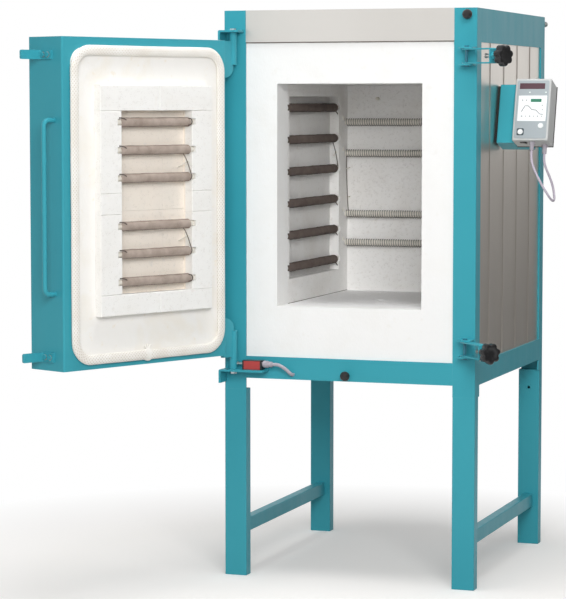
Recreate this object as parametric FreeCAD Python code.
"""Electric ceramic kiln on a stand, with a swing door that carries its own heating elements.

Lengths are millimetres. While the pieces are made, x = 0 is the middle of the kiln, y = 0 is the
front of its corner posts and z = 0 is the floor. +X is to the right, +Y to the back and +Z up.
The door is made shut and then swung open, and each latch is made shut and then swung aside.
"""
import FreeCAD, Part
import math
import os

from FreeCAD import Rotation, Vector

# Firing chamber, inside its bricks
CHAMBER_WIDTH = 448.0
CHAMBER_HEIGHT = 663.0
CHAMBER_DEPTH = 588.0         # from the white front to the back wall

# Lining, from the chamber outwards
BRICK = 114.0
LINING_GAP = 0.5              # mortar joint between blocks of the lining
SIDE_BOARD = 44.0             # back-up board between the bricks and the shell
BACK_BOARD = 41.0
ROOF_BOARD = 51.0
FLOOR_BOARD = 40.0
COLLAR_SETBACK = 6.0          # white front face behind the front of the posts
COLLAR_DEPTH = 96.0
COLLAR_LAP = 1.0              # white front above the foot of the top band

# Frame
STEEL = 5.0                   # wall of the frame's angles and bars
POST_FRONT = 68.0             # flange of a corner post seen from the front
POST_SIDE = 50.0              # flange of a corner post seen from the side
POST_EDGE = 3.0               # rounding of a post's outer corner
BAR_EDGE = 2.5                # rounding of box-section bars
STAND_HEIGHT = 568.0          # floor to the foot of the corner posts
LEG_DEPTH = 40.0
LEG_WALL = 3.0
STRETCHER_WIDTH = 30.0
STRETCHER_HEIGHT = 42.0
STRETCHER_Z = 122.0
ANCHOR_HOLE_RADIUS = 4.5
ANCHOR_HOLE_DROP = 58.0       # cross hole below the top of a rear leg
POST_FOOT = 34.0              # post that shows below the low rails
LOW_RAIL_HEIGHT = 66.0
TOP_RAIL_HEIGHT = 98.0
RAIL_LIP = 35.0

# Sheets
SHEET = 2.0
FLOOR_SHEET = 3.0
PANEL_LAP = 14.0              # how far a side panel reaches behind the frame
RIB_PITCH = 165.0
RIB_SHIFT = 6.0               # middle of the ribs in front of the kiln's middle
RIB_WIDTH = 10.0
RIB_CREST = 4.0
RIB_PROUD = 2.0
RIB_COUNT = 4
BAND_SETBACK = 1.0            # top band behind the front of the posts
BAND_RETURN = 10.0            # fold at the foot of the top band
TOP_BAND_GAP = 4.0            # dark line under the front top band
ROOF_SHEET_DROP = 50.0        # roof sheet below the top of the rails

# Cover over the rear terminals
COVER_REACH = 40.0
COVER_LAP = 20.0              # how far the cover reaches over the rear posts
COVER_MARGIN = 10.0           # rear rail that shows above and below the cover
COVER_EDGE = 6.0
SLOT_WIDTH = 60.0
SLOT_HEIGHT = 8.0
SLOT_COLUMNS = 5
SLOT_COLUMN_PITCH = 110.0
SLOT_ROWS = 3
SLOT_ROW_PITCH = 30.0
SLOT_MARGIN = 60.0            # lowest and highest slot from the cover's ends

# Heating elements
ELEMENT_RADIUS = 14.0
TUBE_RADIUS = 9.0
TUBE_BORE = 5.0
FIT = 0.3                     # clearance of a loose seat
SIDE_ROW_COUNT = 6
SIDE_ROWS_BELOW_TOP = 71.0    # highest row below the chamber's top
SIDE_ROWS_ABOVE_FLOOR = 107.0
SIDE_POCKET_DEPTH = 30.0
SIDE_POCKET_MARGIN = 34.0     # pocket above the top row and below the bottom row
SIDE_ELEMENT_INSET = 16.0     # first turn behind the white front
SIDE_ELEMENT_SHORT = 90.0     # last turn before the back wall
NOTCH_LENGTH = 16.0
BACK_ROWS_BELOW_TOP = (118.0, 218.0)
BACK_ROWS_ABOVE_FLOOR = (250.0, 157.0)
BACK_ELEMENT_RADIUS = 13.0
BACK_ELEMENT_GAP = 5.0
BACK_ELEMENT_SHORT = 2.0      # turns end this far from the side walls
THERMOCOUPLE_X = -120.0
THERMOCOUPLE_DROP = 43.0      # below the chamber's top
THERMOCOUPLE_RADIUS = 5.0
THERMOCOUPLE_REACH = 18.0
THERMOCOUPLE_HEAD_RADIUS = 20.0
THERMOCOUPLE_HEAD = 22.0

# Door
DOOR_HINGE_INSET = 20.0       # door's hinge side from the left post's inner edge
DOOR_LAP_FREE = 17.5          # door over the right post
DOOR_LAP_TOP = 8.0            # door over the top band
DOOR_FOOT_GAP = 8.0           # door above the low front rail
DOOR_THICKNESS = 141.0
DOOR_STANDOFF = 8.0           # shut door's inner plane in front of the posts
DOOR_OPEN_ANGLE = 114.4
DOOR_SHEET = 2.5
DOOR_EDGE_OUTER = 4.0         # rounding of the tray's outer and inner upright edges
DOOR_EDGE_INNER = 5.0
DOOR_RIM = 30.0
DOOR_RIM_CORNER = 45.0
GASKET_WIDTH = 30.0
GASKET_PROUD = 13.7
GASKET_MARGIN_HINGE = 13.0
GASKET_MARGIN_FREE = 24.0
GASKET_MARGIN_TOP = 22.0
GASKET_MARGIN_BOTTOM = 13.0
GASKET_CORNER = 72.0
PLUG_CLEARANCE_SIDE = 5.0     # plug inside the chamber's mouth
PLUG_CLEARANCE_FLOOR = 4.0
PLUG_CLEARANCE_TOP = 7.0
PLUG_PROUD = 25.0
PLUG_DEPTH = 70.0             # whole depth of the plug's bricks
PLUG_SIDE = 81.0              # bricks beside, under and over the door's pocket
PLUG_FOOT = 60.0
PLUG_HEAD = 72.0
POCKET_DEPTH = 36.0
DOOR_ROW_PITCH = 79.5
DOOR_ROWS_BELOW_TOP = 32.0    # highest row below the pocket's top
DOOR_ROWS_ABOVE_FLOOR = 34.0
DOOR_GROUP = 3                # rows that hang from the top, and as many from the bottom
MIDDLE_BRICK = 60.0
MIDDLE_BRICK_RISE = 227.0     # foot of the middle side bricks above the pocket's floor
COURSE_JOINT_SHIFT = 10.0     # upright joint of the long courses from the plug's middle
SLAB_JOINT_SHIFT = 53.0       # upright joint of the slab behind the pocket
SLAB_JOINT_RISE = 295.0       # its level joint above the plug's foot
BRICK_EDGE = 1.5

# Door hinges
PIN_FROM_DOOR = 50.0
PIN_Y = -27.0
PIN_RADIUS = 5.0
PIN_HEAD = 4.0                # head of a pin beyond its shank
PIN_NUT = 8.0
RUNNING_FIT = 0.05
KNUCKLE_RADIUS = 11.0
HINGE_PLATE = 6.0
HINGE_PLATE_CORNER = 8.0
HINGE_PLATE_PAST_PIN = 30.0
HINGE_PLATE_LEFT_OF_PIN = 37.0
UPPER_PLATE_RISE = 31.0       # above the door's top
UPPER_PLATE_RIGHT_OF_PIN = 25.0
UPPER_LIP = 29.0
LOWER_PLATE_DROP = 45.0       # below the door's foot
LOWER_PLATE_RIGHT_OF_PIN = 103.0
LOWER_LIP = 41.0
ARM_THICKNESS = 8.0
ARM_LENGTH = 108.0            # height of an arm along the door's hinge side
ARM_TAPER = 62.0
ARM_BELLY = 12.0              # how far the arm's curved edge bends in
ARM_TIP = 6.0                 # knuckle beyond the arm's curved edge

# Door handle and latch lugs
HANDLE_RADIUS = 7.0
HANDLE_ABOVE_FOOT = 217.0
HANDLE_BELOW_TOP = 232.0
HANDLE_STANDOFF = 38.0
HANDLE_BEND = 18.0
HANDLE_FROM_INNER = 35.0
LATCH_BELOW_TOP = 50.0
LATCH_ABOVE_FOOT = 38.0
LUG_HEIGHT = 26.0
LUG_THICKNESS = 6.0
LUG_CORNER = 5.0
LUG_FROM_INNER = 40.0
LUG_TO = 90.0
LUG_PAST_LATCH = 48.5
LUG_BOLT_PLACES = (54.0, 74.0)
LUG_BOLT_RADIUS = 6.5
LUG_BOLT_HEAD = 5.0

# Latches on the right post
LATCH_INSET = 23.0            # latch pin from the kiln's right side
LATCH_Y = -30.0
LATCH_REST_ANGLES = (61.0, 44.0)
LATCH_PIN_RADIUS = 4.0
LATCH_PIN_CAP = 4.0
LATCH_PIN_CAP_RADIUS = 7.0
STRAP_PLATE = 4.0
STRAP_HALF_HEIGHT = 22.0
STRAP_HALF_WIDTH = 13.0
STRAP_REACH = 105.0
EAR_GAP = 0.5
EAR_PLATE = 4.0
EAR_FRONT = 46.0
EAR_CORNER = 9.0
BRACKET_EDGE = 2.0            # bracket's side from the kiln's right side
BRACKET_HALF_HEIGHT = 31.0
SCREW_RADIUS = 5.0
SCREW_TRAVEL = 8.0
SCREW_PAD_RADIUS = 7.0
SCREW_PAD = 4.0
NUT_RADIUS = 9.5
NUT_HEIGHT = 8.0
STAR_CLEAR = 18.0             # bare thread between the nut and the star
STAR_THICKNESS = 25.0
STAR_RADIUS = 31.5
STAR_EDGE = 3.0
STAR_LOBES = 7
STAR_VALLEY_RADIUS = 9.5
STAR_HUB_RADIUS = 13.0
STAR_HUB = 4.0
STAR_SOCKET = 15.0

# Air slides
KNOB_RADIUS = 14.5
KNOB_NECK_RADIUS = 7.0
ROD_RADIUS = 4.0
ROD_FRONT = -14.0
INLET_RISE = 19.0             # inlet rod above the low front rail's foot
INLET_HOLE_RADIUS = 30.0
INLET_FROM_FRONT = 228.0      # inlet hole behind the white front
AIR_CHANNEL_RADIUS = 15.0
FLUE_RADIUS = 20.0
INLET_PLATE = 3.0
INLET_PLATE_WIDTH = 100.0
INLET_PLATE_LENGTH = 80.0
INLET_TAB = 30.0
INLET_TAB_DROP = 10.0         # tab below the inlet rod
INLET_TRAVEL = 70.0
GUIDE_SHELF = 6.0
DAMPER_INSET = 22.0           # damper rod from the kiln's right side
DAMPER_DROP = 20.0            # damper rod below the top of the posts
DAMPER_ROD_PAST_REAR = 98.0
DAMPER_COLLAR_RADIUS = 9.0
DAMPER_COLLAR = 10.0
VENT_RADIUS = 30.0
VENT_WALL = 4.0
VENT_FROM_WALL = 265.0        # vent in front of the chamber's back wall
VENT_COLLAR_HEIGHT = 16.0
DAMPER_PLATE = 100.0
DAMPER_LID = 3.0
DAMPER_BAR = 24.0
DAMPER_BAR_START = -20.0
DAMPER_CLAMP = 9.0
DAMPER_CLAMP_EDGE = 4.0
DAMPER_TRAVEL = 80.0

# Door switch on the lower hinge plate
SWITCH_FROM_PIN = 33.0
SWITCH_LENGTH = 61.0
SWITCH_HALF_DEPTH = 15.0
SWITCH_HEIGHT = 28.0
SWITCH_EDGE = 2.5
SWITCH_RISE = 17.0            # plunger axis above the hinge plate
CAM_RADIUS = 12.0             # cam under the plunger with the door open
CAM_RISE = 3.0                # what the cam gains as the door shuts
CAM_HEIGHT = 28.0
CAM_HUB = 3.5                 # wall of the cam's hub round the pin
DOOR_FURTHER = 60.0           # how far the door swings on from its place at rest
PLUNGER_RADIUS = 4.0
PLUNGER_LENGTH = 34.0
PLUNGER_BUTTON = 5.0
BUTTON_LIP = 1.5
PLUNGER_SEAT = 10.0           # part of the plunger that stays outside its bore
SWITCH_GLAND = 29.0
SWITCH_GLAND_WALL = 3.0
SWITCH_GLAND_NUT = (3.0, 16.0)
SWITCH_GLAND_NUT_WALL = 5.5
LEAD_RADIUS = 5.0
LEAD_HOLE_RISE = 15.0         # above the low front rail's foot
LEAD_HOLE_FROM_SWITCH = 86.0
LEAD_ENTRY = 14.0             # the lead ends here, in front of the rail's hole

# Controller on the right side
CONTROLLER_FROM_SIDE = 55.0
CONTROLLER_Y = 199.0
CONTROLLER_BELOW_TOP = 384.0
CONTROLLER_TILT = 15.5
CONTROLLER_WIDTH = 108.0
CONTROLLER_HEIGHT = 188.5
CONTROLLER_DEPTH = 75.0
CONTROLLER_TOP_SLOPE = 6.0
CONTROLLER_EDGE = 4.0
CONTROLLER_BACK_EDGE = 2.0
HOLDER_FROM_SIDE = 1.0
HOLDER_WIDTH = 101.0
HOLDER_FRONT = 30.0
HOLDER_BACK = 110.0
HOLDER_HEIGHT = 179.0
HOLDER_EDGE = 3.0
PAD_WIDTH = 37.0
PAD_INSET = 4.0
HOLDER_GAP = 0.5
SEAL_PLATE = 3.0              # rubber plate between the housing and its holder
SEAL_PROUD = 1.0
FRONT_PLATE = 1.2
FRONT_PLATE_INSET = 6.0
FRONT_PLATE_CORNER = 5.0
KEY_RADIUS = 8.0
KEY_GAP = 0.3
KEY_TRAVEL = 1.5
KEY_PROUD = 2.6
KEY_HOLE_DEPTH = 6.0
KEY_EDGE = 0.8
KEYS = {"key_menu": (24.0, 25.7), "key_start": (84.0, 44.5)}
ROCKER_PLACE = (31.0, 24.0)
ROCKER_SIZE = (20.0, 11.0)
ROCKER_GAP = (1.5, 0.5)
ROCKER_HOLE_DEPTH = 12.0
ROCKER_ANGLE = 8.0
GLAND_RADIUS = 8.0
GLAND_SLEEVE_RADIUS = 6.5
GLAND_NUT = 7.0
GLAND_LENGTH = 26.0
CONTROLLER_GLAND = (57.0, 22.0)
REAR_GLAND = (88.0, 55.0)
CABLE_RADIUS = 3.5
CABLE_STRAIGHT = 22.0         # straight run of the cable below each gland
CABLE_POINTS = (
    (507.8, 201.0, 1241.1), (519.4, 197.7, 1216.7), (534.1, 199.3, 1187.7),
    (550.1, 203.6, 1160.4), (559.6, 229.4, 1136.9), (559.4, 263.2, 1136.2),
    (553.1, 287.2, 1155.9), (550.0, 278.8, 1182.4), (544.4, 262.0, 1208.4),
    (536.6, 246.5, 1232.9),
)

# Middle of the floor space that the kiln takes with its door open
FLOOR_CENTRE_X = -96.3
FLOOR_CENTRE_Y = 125.3

# Across: the chamber, its lining and the shell give the kiln's width
CHAMBER_HALF = CHAMBER_WIDTH / 2
LINING_HALF = CHAMBER_HALF + BRICK
INNER_HALF = LINING_HALF + SIDE_BOARD + SHEET
HALF_WIDTH = INNER_HALF + STEEL
POST_INNER_X = HALF_WIDTH - POST_FRONT

# From front to back
COLLAR_BACK = COLLAR_SETBACK + COLLAR_DEPTH
CHAMBER_BACK_Y = COLLAR_BACK + CHAMBER_DEPTH
LINING_BACK = CHAMBER_BACK_Y + BRICK
REAR_Y = LINING_BACK + BACK_BOARD + STEEL
SIDE_ELEMENT_START = COLLAR_BACK + SIDE_ELEMENT_INSET
SIDE_ELEMENT_END = CHAMBER_BACK_Y - SIDE_ELEMENT_SHORT
BACK_ELEMENT_Y = CHAMBER_BACK_Y - BACK_ELEMENT_GAP - BACK_ELEMENT_RADIUS
INLET_HOLE_Y = COLLAR_BACK + INLET_FROM_FRONT
VENT_Y = CHAMBER_BACK_Y - VENT_FROM_WALL
DAMPER_ROD_END = REAR_Y + DAMPER_ROD_PAST_REAR

# Upwards, from the stand to the top of the posts
LOW_RAIL_Z = STAND_HEIGHT + POST_FOOT
LOW_RAIL_TOP = LOW_RAIL_Z + LOW_RAIL_HEIGHT
FLOOR_SHEET_Z = LOW_RAIL_TOP - STEEL
LINING_BASE = FLOOR_SHEET_Z + FLOOR_SHEET
BRICK_FLOOR_Z = LINING_BASE + FLOOR_BOARD
CHAMBER_FLOOR_Z = BRICK_FLOOR_Z + BRICK
CHAMBER_TOP_Z = CHAMBER_FLOOR_Z + CHAMBER_HEIGHT
ROOF_Z = CHAMBER_TOP_Z + BRICK + ROOF_BOARD + SHEET
HEIGHT = ROOF_Z + ROOF_SHEET_DROP
TOP_RAIL_Z = HEIGHT - TOP_RAIL_HEIGHT
THERMOCOUPLE_Z = CHAMBER_TOP_Z - THERMOCOUPLE_DROP
INLET_Z = LOW_RAIL_Z + INLET_RISE
DAMPER_Z = HEIGHT - DAMPER_DROP
SIDE_ROW_PITCH = (CHAMBER_HEIGHT - SIDE_ROWS_BELOW_TOP - SIDE_ROWS_ABOVE_FLOOR) / (SIDE_ROW_COUNT - 1)
SIDE_ROWS = [
    CHAMBER_TOP_Z - SIDE_ROWS_BELOW_TOP - SIDE_ROW_PITCH * i for i in range(SIDE_ROW_COUNT)
]
BACK_ROWS = [CHAMBER_TOP_Z - drop for drop in BACK_ROWS_BELOW_TOP]
BACK_ROWS += [CHAMBER_FLOOR_Z + rise for rise in BACK_ROWS_ABOVE_FLOOR]

# Shut door, over the mouth between the posts
DOOR_HINGE_SIDE_X = -POST_INNER_X + DOOR_HINGE_INSET
DOOR_FREE_SIDE_X = POST_INNER_X + DOOR_LAP_FREE
DOOR_WIDTH = DOOR_FREE_SIDE_X - DOOR_HINGE_SIDE_X
DOOR_INNER_Y = -DOOR_STANDOFF
DOOR_BOTTOM = LOW_RAIL_TOP + DOOR_FOOT_GAP
DOOR_TOP = TOP_RAIL_Z + DOOR_LAP_TOP
PLUG_CENTRE = -DOOR_HINGE_SIDE_X
PLUG_WIDTH = CHAMBER_WIDTH - 2 * PLUG_CLEARANCE_SIDE
PLUG_BOTTOM = CHAMBER_FLOOR_Z + PLUG_CLEARANCE_FLOOR
PLUG_TOP = CHAMBER_TOP_Z - PLUG_CLEARANCE_TOP
POCKET_WIDTH = PLUG_WIDTH - 2 * PLUG_SIDE
POCKET_BOTTOM = PLUG_BOTTOM + PLUG_FOOT
POCKET_TOP = PLUG_TOP - PLUG_HEAD
DOOR_ROWS = [POCKET_TOP - DOOR_ROWS_BELOW_TOP - DOOR_ROW_PITCH * i for i in range(DOOR_GROUP)]
DOOR_ROWS += [POCKET_BOTTOM + DOOR_ROWS_ABOVE_FLOOR + DOOR_ROW_PITCH * i for i in range(DOOR_GROUP)]
SIDE_JOINTS = (POCKET_BOTTOM + MIDDLE_BRICK_RISE, POCKET_BOTTOM + MIDDLE_BRICK_RISE + MIDDLE_BRICK)
PIN_X = DOOR_HINGE_SIDE_X - PIN_FROM_DOOR
HINGE_PLATE_LEFT = PIN_X - HINGE_PLATE_LEFT_OF_PIN
UPPER_PLATE_TOP = DOOR_TOP + UPPER_PLATE_RISE
UPPER_PLATE_RIGHT = PIN_X + UPPER_PLATE_RIGHT_OF_PIN
LOWER_PLATE_TOP = DOOR_BOTTOM - LOWER_PLATE_DROP
LOWER_PLATE_RIGHT = PIN_X + LOWER_PLATE_RIGHT_OF_PIN
HANDLE_BOTTOM = DOOR_BOTTOM + HANDLE_ABOVE_FOOT
HANDLE_TOP = DOOR_TOP - HANDLE_BELOW_TOP

# Latches, switch and controller
LATCH_X = HALF_WIDTH - LATCH_INSET
LATCH_ROWS = (DOOR_TOP - LATCH_BELOW_TOP, DOOR_BOTTOM + LATCH_ABOVE_FOOT)
LUG_REACH = LATCH_X + LUG_PAST_LATCH - DOOR_FREE_SIDE_X
SCREW_TIP = LATCH_Y + DOOR_STANDOFF + LUG_TO + SCREW_TRAVEL + FIT
STAR_FROM_PIN = STRAP_REACH + NUT_HEIGHT + STAR_CLEAR
DAMPER_X = HALF_WIDTH - DAMPER_INSET
SWITCH_LEFT = PIN_X + SWITCH_FROM_PIN
SWITCH_RIGHT = SWITCH_LEFT + SWITCH_LENGTH
LEAD_HOLE = (SWITCH_RIGHT + LEAD_HOLE_FROM_SWITCH, LOW_RAIL_Z + LEAD_HOLE_RISE)
CONTROLLER_X = HALF_WIDTH + CONTROLLER_FROM_SIDE
CONTROLLER_Z = HEIGHT - CONTROLLER_BELOW_TOP
HOLDER_LEFT = HALF_WIDTH + HOLDER_FROM_SIDE
HOLDER_RIGHT = HOLDER_LEFT + HOLDER_WIDTH
X_AXIS = Vector(1, 0, 0)
Y_AXIS = Vector(0, 1, 0)
Z_AXIS = Vector(0, 0, 1)
PIECES = {}


def box(x, y, z):
    """A block from three (low, high) pairs."""
    low = Vector(x[0], y[0], z[0])
    return Part.makeBox(x[1] - x[0], y[1] - y[0], z[1] - z[0], low)


def rod(start, end, radius):
    """A round bar between two points."""
    a = Vector(*start)
    way = Vector(*end) - a
    return Part.makeCylinder(radius, way.Length, a, way)


def pipe(start, end, outer, inner):
    """A tube between two points."""
    return rod(start, end, outer).cut(rod(start, end, inner))


def joined(shapes):
    """One solid out of pieces that touch or overlap."""
    whole = shapes[0]
    for shape in shapes[1:]:
        whole = whole.fuse(shape)
    return whole.removeSplitter()


def without(shape, cutters):
    """The shape with every cutter taken away."""
    for cutter in cutters:
        shape = shape.cut(cutter)
    return shape


def edges_on(shape, axis, test):
    """Straight edges along an axis whose middle passes a test."""
    found = []
    for edge in shape.Edges:
        if edge.Curve.TypeId != "Part::GeomLine":
            continue
        way = edge.Vertexes[-1].Point - edge.Vertexes[0].Point
        middle = (edge.Vertexes[-1].Point + edge.Vertexes[0].Point) * 0.5
        if way.normalize().cross(axis).Length < 1e-6 and test(middle):
            found.append(edge)
    return found


def rounded(shape, radius, axis, test=lambda middle: True):
    """The shape with its edges along an axis rounded."""
    return shape.makeFillet(radius, edges_on(shape, axis, test))


def soft_box(x, y, z, radius, axis):
    """A block whose four edges along one axis are rounded."""
    return rounded(box(x, y, z), radius, axis)


def mirrored(shape):
    """The same piece on the other side of the kiln."""
    return shape.mirror(Vector(0, 0, 0), X_AXIS)


def sketch(points, plane, low, high):
    """A straight-sided outline drawn in a plane and drawn out across it."""
    place = {
        "xy": lambda a, b, c: Vector(a, b, c),
        "xz": lambda a, b, c: Vector(a, c, b),
        "yz": lambda a, b, c: Vector(c, a, b),
    }[plane]
    corners = [place(a, b, low) for a, b in points]
    way = place(0, 0, high - low)
    return Part.Face(Part.makePolygon(corners + corners[:1])).extrude(way)


def keep(name, *solids):
    """Store the solids that make up one named piece of the kiln."""
    PIECES[name] = list(solids)


def stand():
    """Four box-section legs and a low stretcher on each side."""
    outer = (POST_INNER_X, HALF_WIDTH)
    inner = (POST_INNER_X + LEG_WALL, HALF_WIDTH - LEG_WALL)

    def leg(front):
        shell = soft_box(outer, (front, front + LEG_DEPTH), (0, STAND_HEIGHT), BAR_EDGE, Z_AXIS)
        hollow = (front + LEG_WALL, front + LEG_DEPTH - LEG_WALL)
        return shell.cut(box(inner, hollow, (LEG_WALL, STAND_HEIGHT)))

    front_leg = leg(0)
    rear_leg = leg(REAR_Y - LEG_DEPTH)
    keep("front_legs", mirrored(front_leg), front_leg)
    centre_x = (POST_INNER_X + HALF_WIDTH) / 2
    hole_z = STAND_HEIGHT - ANCHOR_HOLE_DROP
    hole = rod(
        (centre_x, REAR_Y - LEG_DEPTH - 1, hole_z), (centre_x, REAR_Y + 1, hole_z),
        ANCHOR_HOLE_RADIUS,
    )
    keep("rear_legs", mirrored(rear_leg), rear_leg.cut(hole))
    across = (centre_x - STRETCHER_WIDTH / 2, centre_x + STRETCHER_WIDTH / 2)
    along = (LEG_DEPTH, REAR_Y - LEG_DEPTH)
    up = (STRETCHER_Z, STRETCHER_Z + STRETCHER_HEIGHT)
    bar = soft_box(across, along, up, BAR_EDGE, Y_AXIS)
    bore = box(
        (across[0] + LEG_WALL, across[1] - LEG_WALL), along, (up[0] + LEG_WALL, up[1] - LEG_WALL)
    )
    bar = bar.cut(bore)
    keep("stretchers", mirrored(bar), bar)


def angle_post(front):
    """A right-hand corner post: an angle section with a rounded outer corner."""
    y = (0, POST_SIDE) if front else (REAR_Y - POST_SIDE, REAR_Y)
    up = (STAND_HEIGHT, HEIGHT)
    face = (0, STEEL) if front else (REAR_Y - STEEL, REAR_Y)
    corner_y = 0 if front else REAR_Y
    section = joined([
        box((POST_INNER_X, HALF_WIDTH), face, up),
        box((INNER_HALF, HALF_WIDTH), y, up),
    ])
    return rounded(
        section, POST_EDGE, Z_AXIS,
        lambda middle: abs(middle.x - HALF_WIDTH) < 1 and abs(middle.y - corner_y) < 1,
    )


def frame():
    """Corner posts and the welded rails between them."""
    damper_hole = rod((DAMPER_X, -1, DAMPER_Z), (DAMPER_X, REAR_Y + 1, DAMPER_Z), ROD_RADIUS + FIT)
    front_post = angle_post(True)
    rear_post = angle_post(False)
    keep("post_front_left", mirrored(front_post))
    keep("post_front_right", front_post.cut(damper_hole))
    keep("post_rear_left", mirrored(rear_post))
    keep("post_rear_right", rear_post.cut(damper_hole))

    between_posts = (-POST_INNER_X, POST_INNER_X)
    lip = (FLOOR_SHEET_Z - STEEL, FLOOR_SHEET_Z)
    low = (LOW_RAIL_Z, LOW_RAIL_TOP)
    top = (TOP_RAIL_Z, HEIGHT)
    front = joined([
        box(between_posts, (0, STEEL), low),
        box(between_posts, (STEEL, STEEL + RAIL_LIP), lip),
    ])
    inlet_hole = rod((0, -1, INLET_Z), (0, STEEL + 1, INLET_Z), ROD_RADIUS + FIT)
    lead_x, lead_z = LEAD_HOLE
    lead_hole = rod((lead_x, -1, lead_z), (lead_x, STEEL + 1, lead_z), LEAD_RADIUS + FIT)
    keep("front_rail", without(front, [inlet_hole, lead_hole]))

    along = (POST_SIDE, REAR_Y - POST_SIDE)
    side_low = joined([
        box((INNER_HALF, HALF_WIDTH), along, low),
        box((INNER_HALF - RAIL_LIP, INNER_HALF), along, lip),
    ])
    side_top = box((INNER_HALF, HALF_WIDTH), along, top)
    keep("side_rails", side_low, mirrored(side_low), side_top, mirrored(side_top))

    rear_low = joined([
        box(between_posts, (REAR_Y - STEEL, REAR_Y), low),
        box(between_posts, (REAR_Y - STEEL - RAIL_LIP, REAR_Y - STEEL), lip),
    ])
    rear_top = box(between_posts, (REAR_Y - STEEL, REAR_Y), top)
    keep("rear_rails", rear_low, rear_top)


def cladding():
    """Stainless front band and ribbed side panels, and the louvred cover at the back."""
    bottom = TOP_RAIL_Z + TOP_BAND_GAP
    face = BAND_SETBACK
    across = (-POST_INNER_X, POST_INNER_X)
    band = joined([
        box(across, (face, face + SHEET), (bottom, HEIGHT)),
        box(across, (face, face + RAIL_LIP), (HEIGHT - SHEET, HEIGHT)),
        box(across, (face, face + BAND_RETURN), (bottom, bottom + SHEET)),
    ])
    keep("front_top_panel", band)

    face_x = INNER_HALF
    back_x = INNER_HALF - SHEET
    start = POST_SIDE - PANEL_LAP
    end = REAR_Y - POST_SIDE + PANEL_LAP
    outline = [(back_x, start), (back_x, end), (face_x, end)]
    rib_centre = REAR_Y / 2 - RIB_SHIFT
    places = [rib_centre + RIB_PITCH * (i - (RIB_COUNT - 1) / 2) for i in range(RIB_COUNT)]
    for y in reversed(places):
        outline += [
            (face_x, y + RIB_WIDTH / 2),
            (face_x + RIB_PROUD, y + RIB_CREST / 2),
            (face_x + RIB_PROUD, y - RIB_CREST / 2),
            (face_x, y - RIB_WIDTH / 2),
        ]
    outline.append((face_x, start))
    up = (LINING_BASE, TOP_RAIL_Z + PANEL_LAP)
    panel = sketch(outline, "xy", up[0], up[1])
    for y in places:
        rib_ends = [(LOW_RAIL_TOP - PANEL_LAP, LOW_RAIL_TOP), (TOP_RAIL_Z, up[1] + 1)]
        for z in rib_ends:
            panel = panel.cut(box(
                (face_x, face_x + RIB_PROUD + 1), (y - RIB_WIDTH, y + RIB_WIDTH), z
            ))
    keep("side_panel_right", panel)
    keep("side_panel_left", mirrored(panel))

    x = (-POST_INNER_X - COVER_LAP, POST_INNER_X + COVER_LAP)
    z = (LOW_RAIL_TOP + COVER_MARGIN, TOP_RAIL_Z - COVER_MARGIN)
    outer_y = REAR_Y + COVER_REACH
    cover = soft_box(x, (REAR_Y, outer_y), z, COVER_EDGE, Y_AXIS)
    cover = cover.cut(box(
        (x[0] + SHEET, x[1] - SHEET), (REAR_Y - 1, outer_y - SHEET), (z[0] + SHEET, z[1] - SHEET)
    ))
    lows = [z[0] + SLOT_MARGIN + SLOT_ROW_PITCH * row for row in range(SLOT_ROWS)]
    lows += [z[1] - SLOT_MARGIN - SLOT_ROW_PITCH * row for row in range(SLOT_ROWS)]
    for column in range(SLOT_COLUMNS):
        centre = (column - (SLOT_COLUMNS - 1) / 2) * SLOT_COLUMN_PITCH
        across = (centre - SLOT_WIDTH / 2, centre + SLOT_WIDTH / 2)
        for low in lows:
            cover = cover.cut(soft_box(
                across, (outer_y - SHEET - 1, outer_y + 1), (low, low + SLOT_HEIGHT),
                SLOT_HEIGHT * 0.49, Y_AXIS,
            ))
    keep("rear_cover", cover)


def roof_and_floor_sheets():
    """Sheet roof with the vent collar and slide guides, and the floor sheet under the lining."""
    inside = (-INNER_HALF, INNER_HALF)
    depth = (STEEL, REAR_Y - STEEL)
    sheet = box(inside, depth, (ROOF_Z - SHEET, ROOF_Z))
    top = ROOF_Z + VENT_COLLAR_HEIGHT
    collar = rod((0, VENT_Y, ROOF_Z - SHEET), (0, VENT_Y, top), VENT_RADIUS + VENT_WALL)
    guides = []
    track = DAMPER_PLATE / 2
    guide_y = (VENT_Y - track - DAMPER_TRAVEL, VENT_Y + track)
    for side in (-1, 1):
        near = side * (track + FIT)
        wall = sorted((near, near + side * SHEET))
        guides.append(box(wall, guide_y, (ROOF_Z, top + SHEET)))
        shelf = sorted((near - side * GUIDE_SHELF, near))
        guides.append(box(shelf, guide_y, (top - SHEET - FIT, top - FIT)))
    roof = joined([sheet, collar] + guides)
    vent = rod((0, VENT_Y, ROOF_Z - SHEET - 1), (0, VENT_Y, top + 1), VENT_RADIUS)
    keep("roof_sheet", roof.cut(vent))

    floor = box(inside, depth, (FLOOR_SHEET_Z, LINING_BASE))
    hole = rod(
        (0, INLET_HOLE_Y, FLOOR_SHEET_Z - 1), (0, INLET_HOLE_Y, LINING_BASE + 1), INLET_HOLE_RADIUS
    )
    half = INLET_PLATE_WIDTH / 2
    plate_y = (INLET_HOLE_Y - INLET_PLATE_LENGTH / 2, INLET_HOLE_Y + INLET_PLATE_LENGTH / 2)
    under = FLOOR_SHEET_Z - 2 * FIT - INLET_PLATE
    runners = []
    for side in (-1, 1):
        near = side * (half + FIT)
        wall = sorted((near, near + side * SHEET))
        run = (plate_y[0] - INLET_TRAVEL, plate_y[1])
        runners.append(box(wall, run, (under - SHEET, FLOOR_SHEET_Z)))
        ledge = sorted((near - side * GUIDE_SHELF, near))
        runners.append(box(ledge, run, (under - SHEET, under)))
    keep("floor_sheet", joined([floor.cut(hole)] + runners))


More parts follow.
